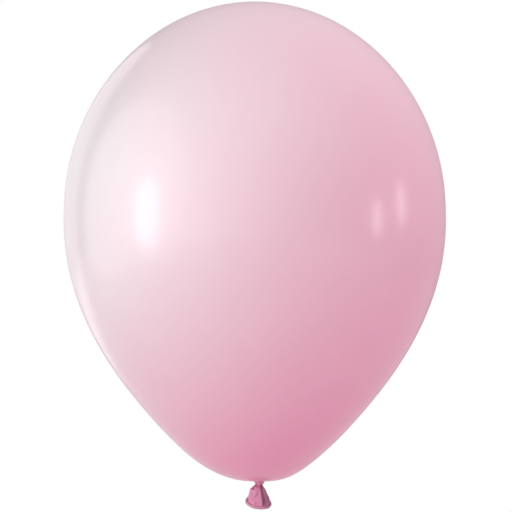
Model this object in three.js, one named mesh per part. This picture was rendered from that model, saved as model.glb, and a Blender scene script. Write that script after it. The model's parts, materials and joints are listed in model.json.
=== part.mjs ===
// An inflated, hand-tied round latex balloon, in millimetres, +Z up.
// The origin is the tie point, where the neck leaves the bottom of the envelope. The crown is up, and the
// knot and its flared tail hang below. One dipped film makes the whole balloon, so its pieces are the
// stretches of that film which move by themselves: the inflated envelope, the bunched neck, the knot, the
// throat of the tail, and the open tail with its rolled lip.
import * as THREE from "three";

// Envelope: the inflated film
const belly_diameter = 300;
const belly_height = 211.4; // the widest place, above the tie point
const crown_rise = 165; // from the widest place to the crown
const film_wall = 0.01; // the stretched film
const root_wall = 0.3; // the film where it gathers into the neck
const neck_offset = 3.3; // the neck comes out beside the envelope's own axis
const taper_angle = 41.9; // the cone below the belly, degrees from upright

// The dimple that the pressure forms round the tied neck
const dimple_room = 3.8; // beside the knot, for the knot to lean
const dimple_rise = 0.75; // over the collar that holds the neck

// Neck: the film bunched to a strand, with a round end in the envelope and another in the knot
const neck_pivot_height = 4;
const strand_radius = 1.1;
const strand_end_radius = 1.5;

// Knot: one turn of the neck, and the part that is tucked through it
const turn_width = 1.9;
const turn_height = 3.8;
const knot_drop = 0.4; // the middle of the turn, below the tie point
const tuck_wall = 0.4; // latex round the lower end of the neck
const tuck_plug = 0.4; // how far the tucked part stands into the throat

// Throat of the tail, just below the knot
const throat_wall = 0.35;
const throat_web = 0.5;

// Tail: the pleated open end, and the bead that is rolled on its edge
const tail_length = 12.6; // from its pivot to the plane of the lip
const lip_ring_radius = 9.4;
const lip_bead_radius = 1.2;
const skirt_wall = 0.4;
const shoulder_radius = 4.9;
const shoulder_drop = 2.3; // below the tail's pivot
const pleat_count = 7;
const pleat_share = 0.06; // of the radius
const tail_tilt_back = 24; // degrees, as the tail hangs at rest
const tail_tilt_side = 6;

const clearance = 0.3; // between one piece and the next

// Worked out from the sizes above
const belly_radius = belly_diameter / 2;
const socket_radius = strand_end_radius + clearance;
const tuck_radius = socket_radius + tuck_wall;
const knot_bore = tuck_radius + clearance;
const knot_radius = knot_bore + turn_width;
const dimple_radius = knot_radius + dimple_room;
const throat_top = -knot_drop - turn_height / 2 - clearance;
const tuck_bottom = throat_top - tuck_plug;
const throat_socket_radius = tuck_radius + clearance;
const throat_radius = throat_socket_radius + throat_wall;
const throat_socket_floor = tuck_bottom - clearance;
const tail_pivot = throat_socket_floor - throat_web - socket_radius;

const latex_pink = new THREE.MeshStandardMaterial({
  name: "latex_pink",
  color: 0xe9a9bf,
  roughness: 0.28,
  metalness: 0,
  side: THREE.DoubleSide,
});
const latex_gathered = new THREE.MeshStandardMaterial({
  name: "latex_gathered",
  color: 0xd0708f,
  roughness: 0.35,
  metalness: 0,
});

const degrees = THREE.MathUtils.degToRad;
const point = (radius, height) => new THREE.Vector2(radius, height);

// A round stretch of an outline. Angles are in degrees, from straight up towards +radius.
function arc(height, radius, from, to, steps, middle = 0) {
  return Array.from({ length: steps + 1 }, (_, i) => {
    const angle = degrees(from + ((to - from) * i) / steps);
    return point(middle + radius * Math.sin(angle), height + radius * Math.cos(angle));
  });
}

// A smooth stretch between two points, each with the handle that sets its direction there.
function sweep(start, start_handle, end_handle, end, steps) {
  return new THREE.CubicBezierCurve(start, start_handle, end_handle, end).getPoints(steps);
}

// Turns an outline round the Z axis. It runs up its outside and down its inside.
function turned(outline, segments) {
  return new THREE.LatheGeometry(outline, segments).rotateX(Math.PI / 2);
}

function piece(name, geometry, material) {
  const mesh = new THREE.Mesh(geometry, material);
  mesh.name = name;
  return mesh;
}

// The outline moved inwards, square to itself, by the wall that each of its points has.
function insideOf(outline, wallAt) {
  return outline.map((p, i) => {
    const before = outline[Math.max(i - 1, 0)];
    const after = outline[Math.min(i + 1, outline.length - 1)];
    const along = after.clone().sub(before).normalize();
    const inner = point(p.x - along.y * wallAt(i), p.y + along.x * wallAt(i));
    return p.x < 1e-6 ? point(0, p.y - wallAt(i)) : inner;
  });
}

// The film from the collar round the neck's end, down the dimple, over its edge and up to the crown.
function filmOutline() {
  const collar = arc(neck_pivot_height, socket_radius + root_wall, 85, 62, 2);
  const collar_top = collar.at(-1);
  const ceiling = collar_top.y + dimple_rise;
  const edge = point(dimple_radius, 0);
  const wall = point(dimple_radius - 1, 1.6);
  const dimple = [
    ...sweep(collar_top, point(collar_top.x + 1.6, ceiling), point(wall.x, ceiling - 0.4), wall, 5),
    ...sweep(wall, point(wall.x, 0.7), point(edge.x - 0.7, 0), edge, 3).slice(1),
  ];
  const slope = point(Math.sin(degrees(taper_angle)), Math.cos(degrees(taper_angle)));
  const shoulder = point(0.555 * belly_radius, 0.2455 * belly_height);
  const towards_belly = slope.clone().multiplyScalar(0.7 * belly_radius).add(shoulder);
  const towards_neck = slope.clone().multiplyScalar(-0.249 * belly_radius).add(shoulder);
  const belly = point(belly_radius, belly_height);
  const under_belly = point(belly_radius, 0.9035 * belly_height);
  const over_belly = point(belly_radius, belly_height + 0.54 * crown_rise);
  const crown = point(0, belly_height + crown_rise);
  const beside_crown = point(0.549 * belly_radius, crown.y);
  const upper = [
    ...sweep(edge, point(0.227 * belly_radius, 0), towards_neck, shoulder, 7),
    ...sweep(shoulder, towards_belly, under_belly, belly, 8).slice(1),
    ...sweep(belly, over_belly, beside_crown, crown, 9).slice(1),
  ];
  return { gathered: [...collar, ...dimple.slice(1)], upper: upper.slice(1) };
}

// The inflated film, with its inside. The gas passage is the hole over the round end of the neck.
function envelope() {
  const { gathered, upper } = filmOutline();
  const outer = [...gathered, ...upper];
  const thin_from = gathered.length - 1;
  const wallAt = (i) => film_wall + (root_wall - film_wall) * Math.max(0, 1 - i / thin_from);
  const passage = arc(neck_pivot_height, socket_radius, 20, 85, 4);
  const inner = insideOf(outer, wallAt).slice(3);
  const geometry = turned([...inner.reverse(), ...passage, ...outer], 48);
  moveNeckBeside(geometry);
  const mesh = piece("envelope", geometry, latex_pink);
  mesh.position.x = -neck_offset;
  return mesh;
}

// Draws the bottom of the film sideways, so that it meets the neck beside the envelope's own axis.
function moveNeckBeside(geometry) {
  const place = geometry.attributes.position;
  for (let i = 0; i < place.count; i++) {
    const radius = Math.hypot(place.getX(i), place.getY(i));
    const near = 1 - THREE.MathUtils.smoothstep(radius, dimple_radius, 0.35 * belly_radius);
    const low = place.getZ(i) < belly_height ? 1 : 0;
    place.setX(i, place.getX(i) + neck_offset * near * low);
  }
  geometry.computeVertexNormals();
}

// The neck between the envelope and the knot: a strand with two round ends.
function neckStem() {
  const low_pivot = -knot_drop;
  const meets = THREE.MathUtils.radToDeg(Math.asin(strand_radius / strand_end_radius));
  return turned(
    [
      ...arc(low_pivot, strand_end_radius, 180, meets, 6),
      ...arc(neck_pivot_height, strand_end_radius, 180 - meets, 0, 6),
    ],
    28,
  );
}

// The turn of the neck that closes the balloon, drawn tight round the part tucked through it.
function knotLoop() {
  const half_width = turn_width / 2;
  const middle = knot_bore + half_width;
  const straight = turn_height / 2 - half_width;
  const outline = [
    ...arc(-knot_drop - straight, half_width, 270, 90, 7, middle),
    ...arc(-knot_drop + straight, half_width, 90, -90, 7, middle),
  ];
  return turned([...outline, outline[0].clone()], 44);
}

// The part of the neck that is pulled through the turn. The neck's lower round end sits in its top.
function knotTuck() {
  return turned(
    [
      point(0, tuck_bottom),
      point(tuck_radius - 0.3, tuck_bottom),
      point(tuck_radius, tuck_bottom + 0.3),
      point(tuck_radius, -knot_drop - 0.3),
      ...arc(-knot_drop, socket_radius, 98, 180, 6),
    ],
    32,
  );
}

// The throat: it turns on the tucked part above, and the tail's round end swings in its underside.
function tailThroat() {
  const rim = arc(tail_pivot, socket_radius, 60, 60, 1)[0];
  return turned(
    [
      ...arc(tail_pivot, socket_radius, 0, 60, 5),
      point(rim.x + throat_wall, rim.y),
      point(throat_radius + 0.15, throat_socket_floor - throat_web),
      point(throat_radius, throat_top),
      point(throat_socket_radius, throat_top),
      point(throat_socket_radius, throat_socket_floor),
      point(0, throat_socket_floor),
    ],
    36,
  );
}

// The tail's outer outline, from the edge at the lip up to the round end, about its own pivot.
function skirtOutline() {
  const edge = point(lip_ring_radius - 0.5, lip_bead_radius + clearance + 0.1 - tail_length);
  const shoulder = point(shoulder_radius, -shoulder_drop);
  const root = arc(0, strand_end_radius, 112, 112, 1)[0];
  return {
    side: [
      ...sweep(edge, point(edge.x - 0.5, edge.y + 3), point(6.4, -5), shoulder, 7),
      ...sweep(shoulder, point(4.2, -1.3), point(2.4, -0.9), root, 4).slice(1),
    ],
    end: arc(0, strand_end_radius, 112, 0, 6).slice(1),
  };
}

// The open tail: a thin pleated cone, hollow from the lip to its gathered top.
function tailSkirt() {
  const { side, end } = skirtOutline();
  const hollow_top = -2.1 * skirt_wall - strand_end_radius;
  const inner = insideOf(side, () => skirt_wall).slice(0, 7);
  const outline = [point(0, hollow_top), point(1.6, hollow_top - 0.5), ...inner.reverse(), ...side, ...end];
  const geometry = turned(outline, 56);
  const place = geometry.attributes.position;
  const [bottom, top] = [side[0].y, side.at(-1).y];
  for (let i = 0; i < place.count; i++) {
    const [x, y, z] = [place.getX(i), place.getY(i), place.getZ(i)];
    const along = THREE.MathUtils.clamp((z - bottom) / (top - bottom), 0, 1);
    const depth = pleat_share * Math.sin(Math.PI * along) ** 2;
    const scale = 1 + depth * Math.cos(pleat_count * Math.atan2(y, x));
    place.setXY(i, x * scale, y * scale);
  }
  geometry.computeVertexNormals();
  return geometry;
}

// The bead that is rolled on the edge of the tail.
function rolledLip() {
  return turned(arc(-tail_length, lip_bead_radius, 180, -180, 14, lip_ring_radius), 52);
}

const tail = new THREE.Group();
tail.position.z = tail_pivot;
tail.rotation.set(degrees(tail_tilt_back), degrees(tail_tilt_side), 0);
tail.add(
  piece("tail_skirt", tailSkirt(), latex_gathered),
  piece("rolled_lip", rolledLip(), latex_pink),
);

const balloon = new THREE.Group();
balloon.name = "latex_balloon";
balloon.add(
  envelope(),
  piece("neck_stem", neckStem(), latex_gathered),
  piece("knot_loop", knotLoop(), latex_gathered),
  piece("knot_tuck", knotTuck(), latex_gathered),
  piece("tail_throat", tailThroat(), latex_gathered),
  tail,
);

export default balloon;
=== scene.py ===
import json
import math
from bisect import bisect

import bpy
from mathutils import Matrix, Vector, noise
from mathutils.geometry import interpolate_bezier


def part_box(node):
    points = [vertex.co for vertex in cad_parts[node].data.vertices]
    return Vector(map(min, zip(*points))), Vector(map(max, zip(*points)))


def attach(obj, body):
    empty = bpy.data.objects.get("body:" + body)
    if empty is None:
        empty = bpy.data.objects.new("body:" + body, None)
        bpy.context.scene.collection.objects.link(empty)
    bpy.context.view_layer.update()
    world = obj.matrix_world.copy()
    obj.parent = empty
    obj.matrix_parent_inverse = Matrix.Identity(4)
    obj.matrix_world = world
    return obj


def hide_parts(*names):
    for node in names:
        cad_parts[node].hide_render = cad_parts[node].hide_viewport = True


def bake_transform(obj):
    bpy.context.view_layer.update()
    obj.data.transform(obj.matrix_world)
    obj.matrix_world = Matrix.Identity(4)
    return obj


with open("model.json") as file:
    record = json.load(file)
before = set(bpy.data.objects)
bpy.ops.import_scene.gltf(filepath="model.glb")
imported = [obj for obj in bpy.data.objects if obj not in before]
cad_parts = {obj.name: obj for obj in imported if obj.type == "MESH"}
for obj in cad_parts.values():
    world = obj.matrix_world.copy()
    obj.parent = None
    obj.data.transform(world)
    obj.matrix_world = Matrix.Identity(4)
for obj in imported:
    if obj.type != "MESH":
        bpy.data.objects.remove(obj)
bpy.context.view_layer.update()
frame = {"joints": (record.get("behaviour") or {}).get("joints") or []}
mm = 0.001
joint_at = {joint["name"]: Vector(joint["pos_m"]) for joint in frame["joints"]}


# Camera: level with the middle of the balloon, a long lens from far off, square to its front.
film_low, film_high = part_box("envelope")
camera_distance = 2.4
view_width = 402.3 * mm
camera_place = Vector((-2.4 * mm, -camera_distance, 176.7 * mm))
bpy.ops.object.camera_add(location=camera_place, rotation=(math.radians(90), 0, 0))
camera = bpy.context.object
camera.data.sensor_width = 36
camera.data.lens = camera.data.sensor_width * camera_distance / view_width
camera.data.clip_end = 50
bpy.context.scene.camera = camera
bpy.context.scene.view_settings.view_transform = "Standard"


# Studio: a white room that is brighter from three sides, and a pale floor well below the balloon. A soft box
# is on the left, a narrow one nearer the camera, one behind on the left and two small ones on the right. Two
# more on the left show only in reflections: one sharpens the main highlight, one pales the film's left side.
studio = bpy.data.worlds.new("white_studio")
bpy.context.scene.world = studio
studio.use_nodes = True
room = studio.node_tree.nodes
room.clear()
wire = studio.node_tree.links.new


def towards(azimuth, elevation):
    """The direction of a light. Azimuth 0 is the camera's side and grows to the right."""
    a, e = math.radians(azimuth), math.radians(elevation)
    return Vector((math.sin(a) * math.cos(e), -math.cos(a) * math.cos(e), math.sin(e)))


def sum_node(operation, first, second):
    made = room.new("ShaderNodeMath")
    made.operation = operation
    wire(first, made.inputs[0])
    if isinstance(second, float):
        made.inputs[1].default_value = second
    else:
        wire(second, made.inputs[1])
    return made.outputs[0]


walls = room.new("ShaderNodeValue")
walls.outputs[0].default_value = 0.22
light_so_far = walls.outputs[0]
way = room.new("ShaderNodeTexCoord").outputs["Generated"]
# Each has its azimuth and elevation in degrees, and its strength
windows = [(-20, 28, 1.08), (-55, -30, 1.06), (120, 40, 1.14)]
for azimuth, elevation, strength in windows:
    facing = room.new("ShaderNodeVectorMath")
    facing.operation = "DOT_PRODUCT"
    facing.inputs[1].default_value = towards(azimuth, elevation)
    wire(way, facing.inputs[0])
    lobe = sum_node("POWER", sum_node("MAXIMUM", facing.outputs["Value"], 0.0), 2.0)
    light_so_far = sum_node("ADD", sum_node("MULTIPLY", lobe, strength), light_so_far)
lit = room.new("ShaderNodeBackground")
wire(light_so_far, lit.inputs["Strength"])
lit.inputs["Color"].default_value = (1, 1, 1, 1)
seen = room.new("ShaderNodeBackground")
seen.inputs["Color"].default_value = (1, 1, 1, 1)
choose = room.new("ShaderNodeMixShader")
wire(room.new("ShaderNodeLightPath").outputs["Is Camera Ray"], choose.inputs["Fac"])
wire(lit.outputs[0], choose.inputs[1])
wire(seen.outputs[0], choose.inputs[2])
wire(choose.outputs[0], room.new("ShaderNodeOutputWorld").inputs["Surface"])

belly = Vector(((film_low.x + film_high.x) / 2, 0, 0.5617 * film_high.z))


def soft_box(name, azimuth, elevation, distance, width, height, brightness, only_gloss=False):
    """A soft box that faces the belly. One that is only for gloss shows in reflections and lights nothing."""
    away = towards(azimuth, elevation)
    bpy.ops.object.light_add(type="AREA", location=belly + away * distance)
    light = bpy.context.object
    light.name = name
    light.rotation_euler = away.to_track_quat("Z", "Y").to_euler()
    light.data.shape = "ELLIPSE"
    light.data.size = width
    light.data.size_y = height
    light.data.energy = math.pi * (math.pi / 4 * width * height) * brightness
    light.visible_camera = False
    light.visible_diffuse = not only_gloss
    light.visible_transmission = not only_gloss


soft_box("key_box", -64, 1, 1.5, 0.52, 0.80, 1.1)
soft_box("key_glint", -64, 1, 1.52, 0.40, 0.66, 3.0, only_gloss=True)
soft_box("left_wall", -80, 6, 2.2, 3.6, 3.6, 0.85, only_gloss=True)
soft_box("narrow_box", -31, -12, 2.2, 0.5, 2.0, 0.6)
soft_box("left_back_box", -148, 4, 2.4, 1.5, 2.6, 0.8)
soft_box("right_box_near", 74.5, 0, 1.8, 0.26, 0.34, 5.0)
soft_box("right_box_far", 94, 4, 1.8, 0.26, 0.38, 4.0)

floor_drop = 0.55
bpy.ops.mesh.primitive_plane_add(size=9, location=(0, 0, -floor_drop))
floor = bpy.context.object
floor.name = "studio_floor"


class Paint:
    """One material while it is being mixed. node() adds any node and gives back one of its outputs."""

    def __init__(self, name):
        self.material = bpy.data.materials.new(name)
        self.material.use_nodes = True
        self.tree = self.material.node_tree
        self.tree.nodes.clear()

    def node(self, kind, inputs, output=0, **settings):
        made = self.tree.nodes.new("ShaderNode" + kind)
        for key, value in settings.items():
            setattr(made, key, value)
        for key, value in inputs.items():
            if isinstance(value, Wire):
                self.tree.links.new(value.socket, made.inputs[key])
            else:
                made.inputs[key].default_value = value
        return Wire(self, made.outputs[output]) if made.outputs else None

    def mix(self, share, first, second):
        """Two colours, mixed by a share that may vary."""
        return self.node("Mix", {0: share, 6: first, 7: second}, 2, data_type="RGBA")

    def finish(self, shader):
        self.node("OutputMaterial", {"Surface": shader})
        return self.material


class Wire:
    """A value on its way through a material. Sums on it add Math nodes."""

    def __init__(self, paint, socket):
        self.paint = paint
        self.socket = socket

    def math(self, operation, first, second):
        return self.paint.node("Math", {0: first, 1: second}, operation=operation)

    def __add__(self, other):
        return self.math("ADD", self, other)

    def __sub__(self, other):
        return self.math("SUBTRACT", self, other)

    def __rsub__(self, other):
        return self.math("SUBTRACT", other, self)

    def __mul__(self, other):
        return self.math("MULTIPLY", self, other)

    def __truediv__(self, other):
        return self.math("DIVIDE", self, other)

    def __pow__(self, other):
        return self.math("POWER", self, other)

    __radd__ = __add__
    __rmul__ = __mul__


paper = Paint("pale_floor")
floor.data.materials.append(
    paper.finish(paper.node("BsdfPrincipled", {"Base Color": (0.86, 0.86, 0.86, 1), "Roughness": 0.8}))
)


# Envelope: the dipped latex film, blown up to the belly's full width and drawn thin and even. Its colour is
# painted deeper towards the neck, where the film is thicker. It is also painted paler on its -X side and
# deeper on its +X side, which is painted light and painted shade: the -X side as lit, the +X side as in
# shade.
belly_radius = (film_high.x - film_low.x) / 2
crown_height = film_high.z
belly_height = belly.z
axis_x = belly.x
neck_x = 0.0
taper = math.radians(41.9)
dimple_radius = 8.2 * mm


def sweep(start, start_handle, end_handle, end, count):
    """Points on a smooth stretch of outline, each (radius, height)."""
    ends = [Vector((p[0], 0, p[1])) for p in (start, start_handle, end_handle, end)]
    return [(p.x, p.z) for p in interpolate_bezier(*ends, count)]


def film_outline():
    shoulder = Vector((0.555 * belly_radius, 0.2455 * belly_height))
    slope = Vector((math.sin(taper), math.cos(taper)))
    rise = crown_height - belly_height
    gathered = sweep((2.2 * mm, 5.2 * mm), (3.6 * mm, 5.75 * mm), (7.2 * mm, 5.3 * mm),
                     (7.2 * mm, 1.6 * mm), 10)
    rim = sweep((7.2 * mm, 1.6 * mm), (7.2 * mm, 0.7 * mm), (7.5 * mm, 0), (dimple_radius, 0), 5)
    low = sweep((dimple_radius, 0), (0.227 * belly_radius, 0), shoulder - slope * 0.249 * belly_radius,
                shoulder, 13)
    side = sweep(shoulder, shoulder + slope * 0.7 * belly_radius, (belly_radius, 0.9035 * belly_height),
                 (belly_radius, belly_height), 13)
    top = sweep((belly_radius, belly_height), (belly_radius, belly_height + 0.54 * rise),
                (0.549 * belly_radius, crown_height), (0.0, crown_height), 20)
    return gathered + rim[1:] + low[1:] + side[1:] + top[1:]


def neck_side(radius, height):
    """Where a ring of the film is centred: on the neck low down, and on the balloon's own axis above."""
    t = min(max((radius - dimple_radius) / (0.35 * belly_radius - dimple_radius), 0), 1)
    return neck_x + (axis_x - neck_x) * (t * t * (3 - 2 * t) if height < belly_height else 1)


pole = 0.01 * mm


def ring_stack(name, rings, segments):
    """A tube drawn ring by ring, each (radius, height, centre x): a circle is extruded, moved and resized.
    A first or last ring of radius 0 closes that end to a pole."""
    bpy.ops.object.select_all(action="DESELECT")
    radius, height, x = rings[0]
    bpy.ops.mesh.primitive_circle_add(vertices=segments, radius=max(radius, pole), location=(x, 0, height))
    made = bpy.context.object
    made.name = name
    bpy.ops.object.transform_apply(location=True, rotation=True, scale=True)
    bpy.ops.object.mode_set(mode="EDIT")
    for (r0, z0, x0), (r1, z1, x1) in zip(rings, rings[1:]):
        bpy.ops.mesh.extrude_edges_move(TRANSFORM_OT_translate={"value": (x1 - x0, 0, z1 - z0)})
        size = max(r1, pole) / max(r0, pole)
        bpy.ops.transform.resize(value=(size, size, 1), center_override=(x1, 0, z1))
    bpy.ops.mesh.select_all(action="SELECT")
    bpy.ops.mesh.remove_doubles(threshold=2.1 * pole)
    bpy.ops.mesh.normals_make_consistent(inside=False)
    bpy.ops.object.mode_set(mode="OBJECT")
    return made


def smooth_finish(piece, levels=1):
    """Finishes a piece with a subdivision surface, and applies it."""
    bpy.ops.object.select_all(action="DESELECT")
    bpy.context.view_layer.objects.active = piece
    piece.select_set(True)
    finer = piece.modifiers.new("finer", "SUBSURF")
    finer.levels = finer.render_levels = levels
    bpy.ops.object.modifier_apply(modifier=finer.name)
    bpy.ops.object.shade_smooth()


rings = [(r, z, neck_side(r, z)) for r, z in [(0, 5.2 * mm)] + film_outline()]
envelope = ring_stack("envelope_film", rings, 96)
smooth_finish(envelope)

# Soft puckers round the dimple, where the film is drawn in to the neck
for vertex in envelope.data.vertices:
    from_neck = math.hypot(vertex.co.x, vertex.co.y) / mm
    if vertex.co.z < 20 * mm and from_neck < 24:
        angle = math.atan2(vertex.co.x, -vertex.co.y)
        pucker = math.sin(13 * angle) + 0.6 * math.sin(8 * angle + 1.3) + 0.4 * math.sin(21 * angle)
        vertex.co.z += 0.14 * pucker * math.exp(-((from_neck - 5.5) / 4.0) ** 2) * mm

latex = Paint("inflated_latex")
place = latex.node("TexCoord", {}, 3)
cloud = latex.node("TexNoise", {"Vector": place, "Scale": 9.0, "Detail": 3.0, "Roughness": 0.5}, 0)
across = latex.node("SeparateXYZ", {0: place}, 0)
along = latex.node("SeparateXYZ", {0: place}, 2)
below_crown = 1 - along / crown_height
side = 0.5 + 0.5 * (across - axis_x) / belly_radius
# thickness is the film's real thickness towards the neck plus painted light and shade across X: paler on the
# lit -X side, deeper on the shaded +X side. It also sets the translucent share.
thickness = 0.72 * below_crown ** 3 + 0.8 * side + 0.12 * cloud - 0.13
face_pink = latex.mix(thickness, (0.90, 0.92, 0.93, 1), (0.88, 0.32, 0.50, 1))
swell = latex.node("TexNoise", {"Vector": place, "Scale": 7.0, "Detail": 1.0}, 0)
skin = latex.node("Bump", {"Height": swell, "Strength": 0.08, "Distance": 0.01})
surface = latex.node("BsdfPrincipled", {
    "Base Color": face_pink, "Roughness": 0.42, "Specular IOR Level": 0.7, "IOR": 1.52,
    "Coat Weight": 1.0, "Coat Roughness": 0.16, "Coat IOR": 1.5, "Normal": skin,
    "Sheen Weight": 0.25, "Sheen Roughness": 0.45})
through = latex.node("BsdfTranslucent", {"Color": (0.92, 0.52, 0.67, 1), "Normal": skin})
shader = latex.node("MixShader", {0: 0.2 + 0.24 * thickness, 1: surface, 2: through})
envelope.data.materials.append(latex.finish(shader))
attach(envelope, "envelope")
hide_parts("envelope")


# Tail: the open end of the neck below the knot, a film that was never stretched, so it is thick, deep in
# colour and full of folds. It is drawn tight at the throat and flares to its mouth, which hangs back and
# a little to the left.
tail_pivot = joint_at["tail_flop"]
tail_tilt_back = math.radians(24)
tail_tilt_side = math.radians(6)
tail_bend_top = -4.2 * mm
tail_bend_bottom = -8 * mm
mouth_height = -18.2 * mm
lip_ring_radius = 9.4 * mm


def smooth_share(value, start, end):
    """0 before start, 1 after end, and an even turn between them."""
    t = min(max((value - start) / (end - start), 0), 1)
    return t * t * (3 - 2 * t)


def hang_back(piece):
    """Bends a piece that was made straight down, so that its lower part hangs the way the mouth does."""
    for vertex in piece.data.vertices:
        share = smooth_share(vertex.co.z, tail_bend_top, tail_bend_bottom)
        turn = Matrix.Rotation(share * tail_tilt_side, 3, "Y")
        turn = Matrix.Rotation(share * tail_tilt_back, 3, "X") @ turn
        vertex.co = tail_pivot + turn @ (vertex.co - tail_pivot)


def curve_at(stops, place):
    """Reads a smooth curve through (place, amount) stops."""
    at = min(max(bisect([stop[0] for stop in stops], place) - 1, 0), len(stops) - 2)
    (p0, a0), (p1, a1) = stops[at], stops[at + 1]
    before, after = stops[max(at - 1, 0)], stops[min(at + 2, len(stops) - 1)]
    step = p1 - p0
    slope0 = (a1 - before[1]) / (p1 - before[0]) * step
    slope1 = (after[1] - a0) / (after[0] - p0) * step
    t = min(max((place - p0) / step, 0), 1)
    return (a0 * (2 * t - 3) * t * t + a0 + slope0 * (t - 1) ** 2 * t
            + a1 * (3 - 2 * t) * t * t + slope1 * (t - 1) * t * t)


# The film's radius, and how far it bulges sideways, by depth below the tie point (all in millimetres)
tail_radius = [
    (0.9, 3.45), (1.6, 3.2), (2.4, 2.95), (3.1, 3.0), (3.7, 3.45), (4.3, 4.05), (4.9, 4.6), (5.6, 5.0),
    (6.8, 5.7), (9.65, 7.1), (12.5, 8.0), (14.0, 8.3), (16.5, 8.75), (18.2, 9.2),
]
tail_side = [
    (0.9, 0), (2.4, -0.1), (3.3, -0.3), (4.0, -0.7), (4.9, -1.05), (5.8, -0.9), (6.8, -0.6), (9.65, -0.1),
    (12.5, 0.6), (14.0, 0.85), (18.2, 0.95),
]

# The lines that the film is folded on, round from the front, right side first. Each has its angle at the
# throat, shoulder and mouth, in degrees, and how far it stands out there, in millimetres.
fold_lines = [
    ((-6, -4, -10), (0.25, 0.1, 0.1)),
    ((22, 18, 14), (0.1, 0.35, 0.5)),
    ((48, 36, 29), (-0.9, -1.8, -2.7)),
    ((68, 55, 47), (0.2, -0.2, -0.5)),
    ((86, 71, 62), (-0.35, -0.7, -1.0)),
    ((104, 88, 79), (0.2, 0.35, 0.3)),
    ((122, 108, 98), (-0.4, -0.9, -1.2)),
    ((140, 128, 122), (0.2, 0.3, 0.3)),
    ((158, 150, 146), (-0.35, -0.7, -1.0)),
    ((176, 172, 170), (0.2, 0.35, 0.3)),
    ((196, 194, 196), (-0.4, -1.0, -1.4)),
    ((214, 214, 218), (0.2, 0.3, 0.3)),
    ((232, 232, 238), (-0.35, -0.8, -0.9)),
    ((250, 250, 256), (0.2, 0.3, 0.3)),
    ((266, 268, 272), (-0.3, -0.5, -0.6)),
    ((284, 287, 294), (0.15, 0.3, 0.25)),
    ((313, 316, 324), (-0.9, -0.4, -0.3)),
    ((333, 333, 338), (0.1, 0.3, 0.2)),
]
line_count = len(fold_lines)
columns_per_fold = 8
fold_depths = (3.0, 6.8, 16.0)
billow = 0.05

# Shorter creases that cross the long ones: angle and depth where each starts and ends, its half width and
# how deep it is.
creases = [
    (18, 5.2, -21, 10.4, 0.8, 0.95),
    (-20, 9.4, -15, 17.6, 0.6, 0.5),
    (-34, 10.2, -29, 12.6, 0.4, 0.35),
    (-28, 12.8, -37, 15.6, 0.4, 0.3),
    (-62, 8.5, -50, 12.0, 0.6, 0.3),
    (64, 9.0, 50, 14.0, 0.5, 0.45),
    (92, 8.0, 70, 13.5, 0.5, 0.45),
    (128, 9.0, 108, 15.0, 0.6, 0.45),
    (186, 8.0, 160, 13.0, 0.6, 0.5),
    (236, 9.0, 212, 14.0, 0.6, 0.5),
    (262, 12.0, 284, 16.5, 0.5, 0.4),
]


def turned_off(angle, centre):
    """How far one angle is from another, the short way round."""
    return (angle - centre + math.pi) % math.tau - math.pi


def crease_depth(angle, depth, radius):
    pressed = 0
    for a0, d0, a1, d1, width, most in creases:
        along = (depth - d0) / (d1 - d0)
        if -0.2 < along < 1.2:
            off = turned_off(angle, math.radians(a0 + (a1 - a0) * along)) * radius / width
            fade = smooth_share(along, -0.2, 0.25) * (1 - smooth_share(along, 0.75, 1.2))
            pressed += most * fade * math.exp(-abs(off) ** 1.4)
    return pressed


def line_at(line, depth):
    """Where a fold line lies at a depth, in millimetres from the film's middle."""
    angles, heights = line
    near_lip = 1 - 0.75 * smooth_share(depth, 15.2, 18.2)
    angle = math.radians(curve_at(list(zip(fold_depths, angles)), depth))
    reach = curve_at(tail_radius, depth) + near_lip * curve_at(list(zip(fold_depths, heights)), depth)
    return Vector((reach * math.sin(angle), -reach * math.cos(angle)))


def folded_ring(depth):
    """One ring of the folded film, columns_per_fold points from each fold line to the next. Each is its
    place from the tail's middle, and how much painted shade darkens its colour, from 0 to 1: painted shade
    in the folds, and painted shade all down the +X side, darker than its folds alone would make it."""
    corners = [line_at(line, depth) for line in fold_lines]
    ring = []
    for at, corner in enumerate(corners):
        nearby = corners[(at + 1) % line_count]
        across = nearby - corner
        outwards = Vector((-across.y, across.x)).normalized()
        if outwards.dot(corner) < 0:
            outwards = -outwards
        for column in range(columns_per_fold):
            share = column / columns_per_fold
            point = corner + across * share + outwards * (4 * billow * share * (1 - share) * across.length)
            radius = point.length
            angle = math.atan2(point.x, -point.y)
            pressed = crease_depth(angle, depth, radius)
            left = math.exp(-(turned_off(angle, -1.25) / 0.62) ** 2)
            pressed += 1.35 * left * math.exp(-((depth - 5.4) / 0.65) ** 2)
            pressed -= 0.4 * left * math.exp(-((depth - 7.6) / 1.2) ** 2)
            drawn = math.exp(-((depth - 4.0) / 2.2) ** 2)
            pressed += 0.07 * drawn * math.sin(41 * angle + 0.5 * depth) * (0.6 + 0.4 * math.sin(3 * angle))
            loose = smooth_share(depth, 4, 9)
            pressed += 0.20 * loose * noise.noise(Vector((point.x * 0.75, point.y * 0.75, depth * 0.28)))
            pressed += 0.07 * loose * noise.noise(Vector((point.x * 1.9, point.y * 1.9, depth * 0.9)))
            point *= (radius - pressed) / radius
            # Painted shade: the deeper a point lies in a fold the darker its colour, and the +X side is
            # painted darker still.
            shade_share = (curve_at(tail_radius, depth) - point.length) / 1.8
            shade_share += 0.7 * math.exp(-(turned_off(angle, 1.4) / 0.75) ** 2)
            ring.append(Vector((point.x + curve_at(tail_side, depth), point.y, min(max(shade_share, 0), 1))))
    return ring


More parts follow.
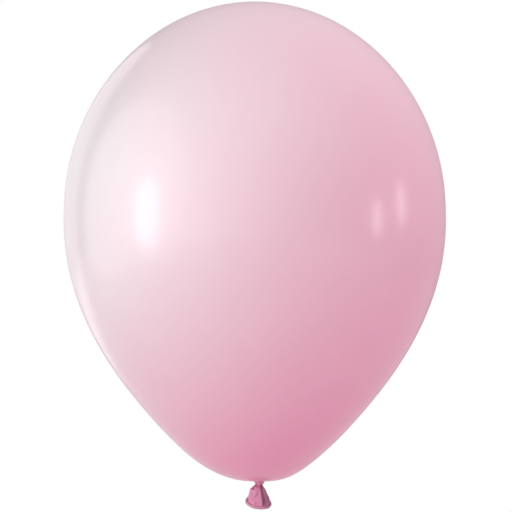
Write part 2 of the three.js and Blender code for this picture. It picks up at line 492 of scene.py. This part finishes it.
def fold_film(piece, depths):
    """Moves each ring of a straight tube onto the folded film's ring at that depth."""
    folded = [folded_ring(depth) for depth in depths]
    # Each point's painted shade is stored in this attribute for the material to read.
    shade_share = piece.data.attributes.new("painted_shade", "FLOAT", "POINT")
    columns = line_count * columns_per_fold
    for vertex in piece.data.vertices:
        column = round(math.atan2(vertex.co.x, -vertex.co.y) / math.tau * columns) % columns
        ring = round((-vertex.co.z / mm - depths[0]) / (depths[1] - depths[0]))
        point = folded[ring][column]
        vertex.co.x = point.x * mm
        vertex.co.y = point.y * mm
        shade_share.data[vertex.index].value = point.z


def film_tube(name, first, last, steps, thickness):
    """A stretch of the folded film with its wall, from one depth to another."""
    depths = [first + (last - first) * step / steps for step in range(steps + 1)]
    tube = ring_stack(name, [(5 * mm, -depth * mm, 0) for depth in depths], line_count * columns_per_fold)
    fold_film(tube, depths)
    hang_back(tube)
    smooth_finish(tube)
    wall = tube.modifiers.new("wall", "SOLIDIFY")
    wall.thickness = thickness
    wall.offset = -1
    bpy.ops.object.modifier_apply(modifier=wall.name)
    bpy.ops.object.shade_smooth_by_angle(angle=math.radians(62))
    return tube


tail = film_tube("tail_film", 3.6, 18.2, 58, 0.32 * mm)


def thick_latex(name, dark, light, bloom=0.15, rolled=False):
    """Latex that was never stretched: deep in colour, darkened by painted shade where painted_shade says, a
    little cloudy, with fine lines along the neck, or along the roll if it is rolled."""
    paint = Paint(name)
    place = paint.node("TexCoord", {}, 3)
    if rolled:
        drawn = paint.node("Mapping", {"Vector": paint.node("TexCoord", {}, 2), "Scale": (30, 9, 1)})
    else:
        drawn = paint.node("Mapping", {"Vector": place, "Scale": (1600, 1600, 260)})
    lines = paint.node("TexNoise", {"Vector": drawn, "Scale": 1.0, "Detail": 3.0, "Roughness": 0.55})
    cloud = paint.node("TexNoise", {"Vector": place, "Scale": 220.0, "Detail": 2.0})
    painted_shade = paint.node("Attribute", {}, 2, attribute_name="painted_shade")
    shade = paint.mix(0.6 * lines + 0.4 * cloud, dark, light)
    # Painted shade: the colour is mixed towards a dark mauve where the painted_shade attribute says.
    shade = paint.mix(0.95 * painted_shade, shade, (0.27, 0.05, 0.14, 1))
    rough = 0.34 + 0.14 * cloud
    skin = paint.node("Bump", {"Height": lines, "Strength": 0.25, "Distance": 0.0002})
    surface = paint.node("BsdfPrincipled", {
        "Base Color": shade, "Roughness": rough, "IOR": 1.52, "Coat Weight": 0.5, "Coat Roughness": 0.16,
        "Coat IOR": 1.5, "Normal": skin, "Sheen Weight": bloom, "Sheen Roughness": 0.45})
    through = paint.node("BsdfTranslucent", {"Color": (0.85, 0.2, 0.34, 1), "Normal": skin})
    return paint.finish(paint.node("MixShader", {0: 0.12, 1: surface, 2: through}))


tail.data.materials.append(thick_latex("tail_latex", (0.62, 0.17, 0.34, 1), (0.82, 0.31, 0.49, 1)))
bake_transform(tail)
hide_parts("tail_skirt")


# Rolled lip: the bead on the mouth's edge, rolled up from the wet film on the former. It is fattest on its
# -X side, sags at the right front, and has painted shade in its groove along the film and on its +X side.
lip_columns = line_count * columns_per_fold
bpy.ops.object.select_all(action="DESELECT")
bpy.ops.mesh.primitive_torus_add(
    location=(0, 0, mouth_height), major_segments=lip_columns, minor_segments=28,
    major_radius=lip_ring_radius, minor_radius=1.0 * mm)
lip = bpy.context.object
lip.name = "rolled_lip_bead"
bpy.ops.object.transform_apply(location=True, rotation=True, scale=True)
mouth_ring = folded_ring(-mouth_height / mm)
lip_shade = lip.data.attributes.new("painted_shade", "FLOAT", "POINT")
for vertex in lip.data.vertices:
    angle = math.atan2(vertex.co.x, -vertex.co.y)
    column = round(angle / math.tau * lip_columns) % lip_columns
    out = (math.hypot(vertex.co.x, vertex.co.y) - lip_ring_radius) / mm
    up = (vertex.co.z - mouth_height) / mm
    middle = sum((mouth_ring[(column + off) % lip_columns].xy for off in range(-4, 5)), Vector((0, 0))) / 9
    outwards = middle - Vector((curve_at(tail_side, 18.2), 0))
    angle = math.atan2(outwards.x, -outwards.y)
    around = math.atan2(up, out)
    fat = 1.20 - 0.16 * math.sin(angle) + 0.05 * noise.noise(Vector((3.0 * angle, 0.8 * around, 3)))
    fat *= 1 - 0.09 * math.exp(-(turned_off(around, 1.9) / 0.2) ** 2)
    fat *= 1 + 0.012 * math.sin(63 * angle + 2 * around) * (0.5 + 0.5 * math.sin(5 * angle))
    sag = math.exp(-(turned_off(angle, 0.85) / 0.6) ** 2)
    wave = 0.10 * math.sin(2 * angle + 0.8) + 0.06 * math.sin(5 * angle) - 0.6 * sag
    place = middle + outwards.normalized() * (0.15 + 0.35 * sag + out * fat)
    vertex.co = (place.x * mm, place.y * mm, mouth_height + (wave + up * fat) * mm)
    # Painted shade: darker in the groove where the bead meets the film, and darker down the +X side.
    against_film = math.exp(-(turned_off(around, 1.95) / 0.3) ** 2)
    right_side = math.exp(-(turned_off(angle, 1.3) / 0.8) ** 2)
    lip_shade.data[vertex.index].value = min(0.9 * against_film + 0.6 * right_side, 1)
hang_back(lip)
smooth_finish(lip)
lip.data.materials.append(thick_latex("lip_latex", (0.47, 0.18, 0.30, 1), (0.78, 0.39, 0.52, 1), 0.4, True))
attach(lip, "tail")
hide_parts("rolled_lip")


# Throat: the neck just below the knot, drawn tight in pleats.
throat = film_tube("throat_film", 1.2, 3.6, 12, 0.3 * mm)
gathered_latex = thick_latex("gathered_latex", (0.62, 0.18, 0.34, 1), (0.80, 0.30, 0.48, 1))
throat.data.materials.append(gathered_latex)
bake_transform(throat)
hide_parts("tail_throat")


# Knot, tucked part: the bunched neck where it goes down through its own turn.
rings = [(0, -0.7), (1.1, -0.72), (1.8, -1.0), (2.0, -1.5), (1.9, -2.2), (1.8, -2.8), (0, -2.95)]
tuck = ring_stack("knot_tuck_strand", [(r * mm, z * mm, 0) for r, z in rings], 48)
for vertex in tuck.data.vertices:
    angle = math.atan2(vertex.co.x, -vertex.co.y)
    grown = 1 + 0.05 * math.sin(9 * angle) + 0.03 * math.sin(4 * angle + 1)
    vertex.co.x *= grown
    vertex.co.y *= grown
smooth_finish(tuck)
tuck.data.materials.append(gathered_latex)
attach(tuck, "knot")
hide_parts("knot_tuck")


# Knot, the turn: the neck bunched to a pleated strand and wound a turn and a bit round itself. It starts at
# the back, and both of its ends run inwards to the neck.
knot_middle = -0.4 * mm
bpy.ops.object.select_all(action="DESELECT")
bpy.ops.curve.primitive_bezier_circle_add(radius=1)
pleated = bpy.context.object
pleated.name = "strand_section"
pleated.data.splines.clear()
section = pleated.data.splines.new("POLY")
section_points = 72
section.points.add(section_points - 1)
section.use_cyclic_u = True
for at, point in enumerate(section.points):
    angle = math.tau * at / section_points
    out = 1 - 0.07 * (0.5 + 0.5 * math.cos(11 * angle)) - 0.04 * math.sin(5 * angle + 0.7)
    point.co = (out * math.cos(angle) * mm, 1.2 * out * math.sin(angle) * mm, 0, 1)
bpy.ops.object.select_all(action="DESELECT")
bpy.ops.curve.primitive_nurbs_path_add()
turn = bpy.context.object
turn.name = "knot_turn"
turn.data.splines.clear()
route = turn.data.splines.new("POLY")
route_points = 128
route.points.add(route_points - 1)
for at, point in enumerate(route.points):
    t = at / (route_points - 1)
    angle = math.radians(-180 + 475 * t)
    inwards = 1 - smooth_share(t, 0, 0.13) + smooth_share(t, 0.87, 1)
    reach = (2.9 - 1.35 * inwards) * mm
    lean = -0.5 * math.sin(angle) - 0.1
    rise = (0.42 - 0.84 * smooth_share(t, 0.1, 0.9) + lean) * mm
    point.co = (reach * math.sin(angle), -reach * math.cos(angle), knot_middle + rise, 1)
    point.radius = 1.32 - 0.45 * inwards + 0.05 * math.sin(7 * t)
turn.data.dimensions = "3D"
turn.data.bevel_mode = "OBJECT"
turn.data.bevel_object = pleated
turn.data.use_fill_caps = True
turn.data.twist_mode = "Z_UP"
bpy.ops.object.select_all(action="DESELECT")
bpy.context.view_layer.objects.active = turn
turn.select_set(True)
bpy.ops.object.convert(target="MESH")
turn = bpy.context.object
turn.location = (0, 0, 0)
bpy.data.objects.remove(pleated)
bpy.ops.object.mode_set(mode="EDIT")
bpy.ops.mesh.select_all(action="SELECT")
bpy.ops.mesh.remove_doubles(threshold=0.001 * mm)
bpy.ops.mesh.normals_make_consistent(inside=False)
bpy.ops.object.mode_set(mode="OBJECT")
smooth_finish(turn)
turn.data.materials.append(gathered_latex)
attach(turn, "knot")
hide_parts("knot_loop")


# Neck: the film gathered to a strand between the envelope and the knot. It lies in the dimple.
rings = [(0, 5.4), (3.3, 5.5), (2.5, 4.9), (1.9, 4.3), (1.55, 3.6), (1.3, 2.9), (1.15, 2.2), (1.05, 1.4),
         (1.0, 0.5), (0.9, -0.2), (0, -0.5)]
neck = ring_stack("neck_film", [(r * mm, z * mm, 0) for r, z in rings], 72)
for vertex in neck.data.vertices:
    angle = math.atan2(vertex.co.x, -vertex.co.y)
    grown = 1 + 0.09 * math.sin(11 * angle) + 0.05 * math.sin(4 * angle + 1)
    vertex.co.x *= grown
    vertex.co.y *= grown
smooth_finish(neck, 2)
neck.data.materials.append(gathered_latex)
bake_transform(neck)
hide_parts("neck_stem")
